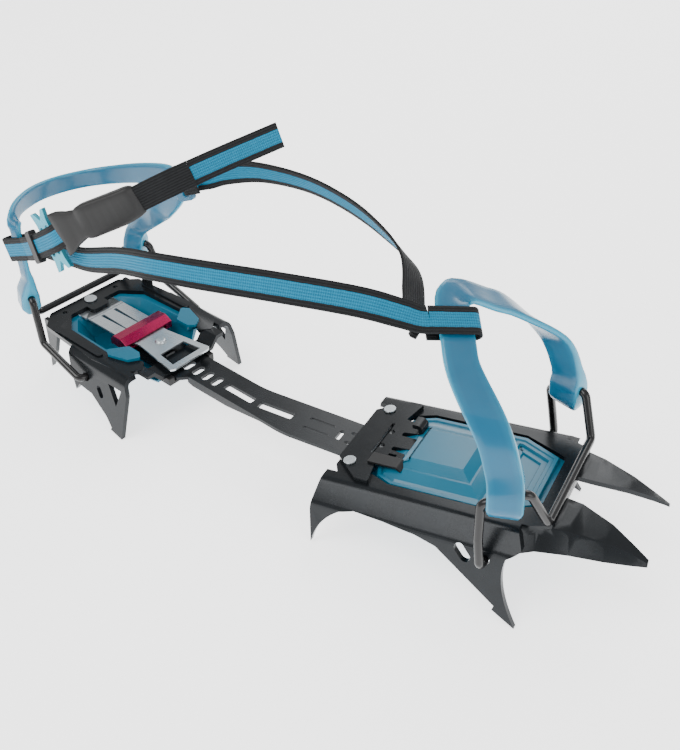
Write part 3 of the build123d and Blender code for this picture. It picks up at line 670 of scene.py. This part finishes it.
@dataclass
class Cages:
    """The two moulded bands that hold the boot."""

    width: float = 15.0
    thick: float = 3.0
    step: float = 2.2

    def toe_half(self) -> list[tuple[Vector, Vector, float]]:
        """Sections of the toe band from the left wire hook up to the apex.

        Returns:
            Each section's place, width direction and thickness.
        """
        return [
            (Vector((78.3, 40.9, 56.5)), Vector((0.85, -0.32, 0.42)), 8.0),
            (Vector((78.2, 40.6, 61)), Vector((0.85, -0.32, 0.42)), 10.4),
            (Vector((77.6, 40.3, 68.5)), Vector((0.85, -0.32, 0.42)), 10.0),
            (Vector((76, 39.8, 76)), Vector((0.93, -0.28, 0.23)), 5.2),
            (Vector((68.4, 37, 92)), Vector((1, -0.15, 0)), self.thick),
            (Vector((51, 26.8, 108.6)), Vector((0.86, -0.4, -0.25)), self.thick),
            (Vector((43.5, 17.3, 116)), Vector((0.73, -0.667, -0.15)), self.thick),
            (Vector((36, 6.7, 123.5)), Vector((0.73, -0.667, -0.15)), self.thick),
        ]

    def toe(self) -> None:
        """The toe cage: two legs that meet over the instep."""
        half = self.toe_half()
        flip = Vector((1, -1, 1))
        right = [Station(p * flip, a * flip, self.width, t) for p, a, t in half]
        apex = [Station(Vector((33.5, 0, 123.8)), Vector((0.8, 0, -0.6)), self.width,
                        self.thick + 1)]
        left = [Station(p, a, self.width, t) for p, a, t in reversed(half)]
        maker = Maker("toe_cage_band")
        maker.band(blend_stations(right + apex + left, self.step), soft_rectangle(1.3), self.feet)
        maker.done(Finish.CAGE, "toe_cage", ["toe_cage"])

    def heel(self) -> None:
        """The heel cage: two legs, a band round the back and the eye side's tall arm."""
        rows = [
            ((-133.6, -37.4, 46), (17, -6, 9), 11, 8.0),
            ((-133.6, -37.3, 50.5), (17, -6, 9), 11.5, 10.4),
            ((-131.6, -37.6, 59), (17, -6, 9), 11, 10.0),
            ((-127.5, -38.4, 69), (1, -0.3, 0.1), 8, 5.2),
            ((-124.8, -40.4, 77), (1, 0, 0), 7, self.thick),
            ((-124.8, -40.4, 98.5), (1, 0, 0), 7, self.thick),
            ((-134, -33.5, 104), (0.25, 0, -0.97), 8, self.thick),
            ((-144.5, -17.5, 103), (0.1, 0, -1), 9.5, self.thick),
            ((-148.5, 0, 101.5), (0, 0, -1), 10, self.thick),
            ((-143, 18, 101.5), (0, 0, -1), 10, self.thick),
            ((-127, 29, 105), (0.1, 0, -1), 10.5, self.thick),
            ((-105, 32.5, 111), (0.3, 0, -0.95), 11.5, self.thick + 0.4),
            ((-88, 33.5, 113.5), (0.7, 0, -0.7), 12.5, self.thick + 1),
            ((-86.5, 34.5, 105), (0.95, 0, 0.3), 12.5, self.thick + 0.6),
            ((-99, 34.5, 91), (0.85, 0, 0.5), 12.5, self.thick),
            ((-116, 36, 78), (0.9, 0, 0.4), 12, self.thick),
            ((-129.5, 37.6, 67), (1, 0.3, 0.1), 11, 5.2),
            ((-132.2, 37.6, 59), (17, 6, 9), 12, 10.0),
            ((-133.6, 37.3, 50.5), (17, 6, 9), 12, 10.4),
            ((-133.6, 37.4, 46), (17, 6, 9), 11, 8.0),
        ]
        stations = [Station(heel(*p), heel_dir(*a).normalized(), w, t) for p, a, w, t in rows]
        maker = Maker("heel_cage_band")
        maker.band(blend_stations(stations, self.step), soft_rectangle(1.3), self.feet)
        maker.done(Finish.CAGE, "heel_cage", ["heel_cage"])
        self.eye()

    def eye(self) -> None:
        """The rectangular eye that the inner webbing passes through."""
        x, z = heel_dir(0.92, 0.05, 0.39).normalized(), heel_dir(-0.05, 1, 0).normalized()
        y = z.cross(x)
        turn = Matrix((x, y, z)).transposed().to_4x4()
        middle = heel(-80, 34.2, 112.5)
        maker = Maker("heel_cage_eye")
        loops = []
        for depth in (-1.7, 1.7):
            for wide, tall, at, r in ((12.2, 19.0, -0.6, 2.2), (3.8, 14.4, 1.2, 0.9)):
                ring = [maker.bm.verts.new((turn @ Vector((px + at, py, depth)) + middle) * MM)
                        for px, py in soft_rectangle(r)(wide, tall)]
                loops.append([maker.bm.edges.new(pair) for pair in zip(ring, ring[1:] + ring[:1])])
        for a, b in ((0, 1), (2, 3), (0, 2), (1, 3)):
            bmesh.ops.bridge_loops(maker.bm, edges=loops[a] + loops[b])
        piece = maker.done(Finish.CAGE, "heel_cage")
        bevel = piece.modifiers.new("edge", "BEVEL")
        bevel.width, bevel.segments = 0.6 * MM, 2
        bevel.limit_method = "ANGLE"

    @staticmethod
    def feet(run: float, share: float) -> tuple[float, float]:
        """Draws the two ends of a band in a little, so that they are rounded."""
        near = min(share, 1 - share)
        close = min(1.0, near * 60)
        return 0.86 + 0.14 * close, 0.72 + 0.28 * close


TOE_FOLD = Plane(Vector((39.75, -12, 119.75)), Vector((-0.746, -0.645, 0.166)),
                 Vector((-0.5, 0.707, 0.5)))
HEEL_FOLD = Plane(heel(-128, -40.4, 88.5), heel_dir(0.927, 0, 0.375),
                  heel_dir(-0.375, 0, 0.927))
EYE_PLANE = Plane(heel(-80, 34.2, 112.5), heel_dir(0.92, 0.05, 0.39),
                  heel_dir(-0.39, -0.02, 0.92))


@dataclass
class Strap:
    """The ankle webbing with its buckle grip."""

    step: float = 1.6

    def fold(self, plane: Plane, arm: float, back: float, gap: float) -> list[Station]:
        """Sections of a U of webbing, from the arm on the plane's +Y side to the other.

        Args:
            plane: the plane the U lies in, its normal along the webbing's width.
            arm: where the arms end along the plane's X.
            back: where the fold is.
            gap: half the distance between the arms.

        Returns:
            The sections.
        """
        centre = back + gap
        out = [Station(plane.local(x, gap), plane.z) for x in (arm, (arm + centre) / 2, centre + 1)]
        for k in range(9):
            a = math.radians(90 + 180 * k / 8)
            out.append(Station(plane.local(centre + gap * math.cos(a), gap * math.sin(a)), plane.z))
        out += [Station(plane.local(x, -gap), plane.z)
                for x in (centre + 1, (arm + centre) / 2, arm)]
        return out

    def ribbon(self, name: str, stations: Sequence[Station], body: str, nodes: Sequence[str],
               flip: bool = False, plain: bool = False) -> None:
        """One piece of webbing.

        Args:
            name: the piece's name.
            stations: its sections.
            body: the body it moves with.
            nodes: the CAD nodes it stands for.
            flip: shows the striped face on the other side.
            plain: leaves the stripe off both faces.
        """
        chain = list(reversed(stations)) if flip else list(stations)
        maker = Maker(name)
        maker.band(blend_stations(chain, self.step), soft_rectangle(0.5, 2))
        if plain:
            for v in maker.bm.verts:
                v[maker.side] = 0.0
        maker.done(Finish.WEB, body, nodes)

    def build(self) -> None:
        """All of the webbing and the grip."""
        self.ribbon("strap_toe_fold_web", self.fold(TOE_FOLD, 12, -10.2, 3.0), "toe_cage",
                    ["strap_toe_fold"], flip=True)
        self.ribbon("strap_heel_fold_web", self.fold(HEEL_FOLD, 14, -6.6, 2.8), "heel_cage",
                    ["strap_heel_fold"], flip=True)
        self.ribbon("strap_eye_fold_web", self.fold(EYE_PLANE, 14, 1.2, 2.8), "heel_cage",
                    ["strap_eye_fold"])
        self.right_run()
        self.left_run()
        across = heel_dir(-0.5, 0.1, 0.86)
        self.ribbon("strap_return_web", [
            Station(HEEL_FOLD.local(14.2, -2.8), HEEL_FOLD.z),
            Station(heel(-104, -46.0, 99.5), across),
            Station(heel(-91, -47.6, 106.9), across),
            Station(heel(-79.2, -47.6, 114.2), across),
            Station(heel(-73.8, -45.4, 118.3), across),
        ], "heel_cage", ["strap_return"], flip=True)
        self.ribbon("strap_tail_doubled_web", [
            Station(heel(-47, -21.6, 134.9), heel_dir(-0.37, -0.22, 0.9), thick=2.0),
            Station(heel(-36.4, -12.2, 142), heel_dir(-0.31, -0.25, 0.9), thick=2.0),
            Station(heel(-29.6, -0.9, 146.4), heel_dir(-0.28, -0.24, 0.91), thick=1.8),
        ], "heel_cage", [], plain=True)
        self.ribbon("strap_tail_web", [
            Station(heel(-29.6, -0.9, 146.4), heel_dir(-0.28, -0.24, 0.91)),
            Station(heel(-22, 12, 151), heel_dir(-0.25, -0.22, 0.93)),
            Station(heel(-8, 35, 159), heel_dir(-0.2, -0.2, 0.95)),
        ], "heel_cage", ["strap_tail"], flip=True)
        self.grip()

    def right_run(self) -> None:
        """The run along the outer side of the ankle."""
        down = heel_dir(-0.375, 0, 0.927)
        self.ribbon("strap_right_run_web", [
            Station(TOE_FOLD.local(12.2, 3.0), TOE_FOLD.z),
            Station(TOE_FOLD.local(16, 3.0), TOE_FOLD.z),
            Station(Vector((21, -26, 127.2)), Vector((-0.42, 0.66, 0.62))),
            Station(Vector((5, -30.6, 130)), Vector((-0.25, 0.6, 0.75))),
            Station(Vector((-25, -38.8, 131.8)), Vector((0, 0.55, 0.83))),
            Station(Vector((-60, -46, 131.6)), Vector((0, 0.4, 0.92))),
            Station(heel(-7, -48, 128), Vector((0, 0.25, 0.97))),
            Station(heel(-33, -44.5, 119), Vector((-0.05, 0.15, 1))),
            Station(heel(-64.5, -40.4, 105.6), Vector((-0.1, 0.05, 1))),
            Station(heel(-84, -38.9, 100.4), Vector((-0.2, 0, 1))),
            Station(heel(-102, -37.9, 96.4), Vector((-0.3, 0, 1))),
            Station(HEEL_FOLD.local(18, 2.8), down),
            Station(HEEL_FOLD.local(14.1, 2.8), down),
        ], "heel_cage", ["strap_right_run"])

    def left_run(self) -> None:
        """The run that twists over the instep to the inner side."""
        self.ribbon("strap_left_run_web", [
            Station(TOE_FOLD.local(12.6, -3.0), TOE_FOLD.z),
            Station(Vector((23, -16.6, 119.6)), Vector((-0.6, 0.5, 0.6))),
            Station(Vector((18, -5, 120.6)), Vector((-0.75, -0.1, 0.65))),
            Station(Vector((6.5, 14, 125.6)), Vector((-0.65, -0.2, 0.75))),
            Station(Vector((-16, 28, 130)), Vector((-0.4, -0.25, 0.85))),
            Station(Vector((-38, 36, 133.5)), Vector((-0.2, -0.35, 0.9))),
            Station(Vector((-62, 42, 134.5)), Vector((0, -0.4, 0.9))),
            Station(Vector((-90, 46.5, 131.5)), Vector((0, -0.3, 0.95))),
            Station(Vector((-112, 49, 125)), Vector((0, -0.1, 1))),
            Station(EYE_PLANE.local(18.4, 2.8), EYE_PLANE.z),
            Station(EYE_PLANE.local(14.2, 2.8), EYE_PLANE.z),
        ], "heel_cage", ["strap_left_run"])

    def grip(self) -> None:
        """The moulded pull grip, flared at the buckle and waisted in the middle."""
        start = heel_dir(-0.5, 0.05, 0.86)
        stations = [
            Station(heel(-75.4, -46.0, 117.2), start, 22, 2.4),
            Station(heel(-72, -44.1, 119.8), start, 20, 2.8),
            Station(heel(-68.6, -41.9, 122.0), start, 16.4, 3.2),
            Station(heel(-65.8, -39.6, 123.9), start, 14.2, 4.6),
            Station(heel(-63, -36.9, 125.6), heel_dir(-0.46, -0.11, 0.86), 16.6, 6.6),
            Station(heel(-53, -27, 131), heel_dir(-0.4, -0.2, 0.88), 16.2, 6.8),
            Station(heel(-48.4, -22.8, 134), heel_dir(-0.38, -0.21, 0.9), 15.4, 6.2),
            Station(heel(-45.6, -20.2, 135.8), heel_dir(-0.37, -0.22, 0.9), 14.2, 4.4),
        ]
        maker = Maker("strap_grip_moulding")
        maker.band(blend_stations(stations, 1.2), soft_rectangle(1.6), self.knurl)
        maker.done(Finish.GRIP, "heel_cage", ["strap_grip"])

    @staticmethod
    def knurl(run: float, share: float) -> tuple[float, float]:
        """Shallow cross ridges over the middle of the grip and rounded ends."""
        ridge = 0.015 * math.sin(run * 1.6) if 0.36 < share < 0.85 else 0.0
        end = min(1.0, 0.6 + min(share, 1 - share) * 9)
        return 0.94 + 0.06 * end, end * (1 + ridge)


class Studio:
    """Floor, light and camera."""

    camera_at = Vector((148.9, -308.8, 333.7))
    forward = Vector((-0.380, 0.697, -0.609))
    focal = 944.0
    tall = 750.0
    floor_glow = 1.8
    sky_power = 0.85

    def build(self) -> None:
        """Puts up the whole studio."""
        self.floor()
        self.lights()
        self.camera()

    def floor(self) -> None:
        """A wide pale floor."""
        maker = bmesh.new()
        bmesh.ops.create_grid(maker, x_segments=1, y_segments=1, size=6.0,
                              matrix=Matrix.Translation((0, 0, -0.0006)))
        mesh = bpy.data.meshes.new("floor")
        maker.to_mesh(mesh)
        maker.free()
        g = Graph("floor_paint")
        g.set(Base_Color=(0.9, 0.9, 0.9), Roughness=0.9,
              Emission_Color=(1, 1, 1), Emission_Strength=self.floor_glow)
        mesh.materials.append(g.material)
        floor = bpy.data.objects.new("floor", mesh)
        bpy.context.scene.collection.objects.link(floor)

    def lights(self) -> None:
        """A white sky and three soft boxes."""
        world = bpy.data.worlds.new("sky")
        world.use_nodes = True
        world.node_tree.nodes["Background"].inputs[0].default_value = (1, 1, 1, 1)
        world.node_tree.nodes["Background"].inputs[1].default_value = self.sky_power
        bpy.context.scene.world = world
        for name, place, size, power in (
            ("key", (-0.5, -0.7, 1.2), 0.9, 14.0),
            ("fill", (1.1, -0.4, 0.7), 0.8, 6.0),
            ("back", (-0.2, 1.1, 0.9), 0.9, 9.0),
        ):
            data = bpy.data.lights.new(name, "AREA")
            data.size = size
            data.energy = power
            lamp = bpy.data.objects.new(name, data)
            lamp.location = place
            aim = Vector((-0.03, 0, 0.05)) - Vector(place)
            lamp.rotation_euler = aim.to_track_quat("-Z", "Y").to_euler()
            bpy.context.scene.collection.objects.link(lamp)

    def camera(self) -> None:
        """The camera at the viewing angle."""
        data = bpy.data.cameras.new("camera")
        data.sensor_fit = "AUTO"
        data.sensor_width = 36.0
        data.lens = self.focal / self.tall * data.sensor_width
        data.clip_start, data.clip_end = 0.01, 20.0
        camera = bpy.data.objects.new("camera", data)
        camera.location = self.camera_at * MM
        camera.rotation_euler = self.forward.to_track_quat("-Z", "Y").to_euler()
        bpy.context.scene.collection.objects.link(camera)
        bpy.context.scene.camera = camera


def main() -> None:
    logging.basicConfig(level=logging.INFO, format="%(message)s")
    SteelParts().build()
    ToePlate().build()
    cages = Cages()
    cages.toe()
    cages.heel()
    Strap().build()
    Studio().build()
    bpy.context.view_layer.update()


if __name__ == "__main__":
    main()
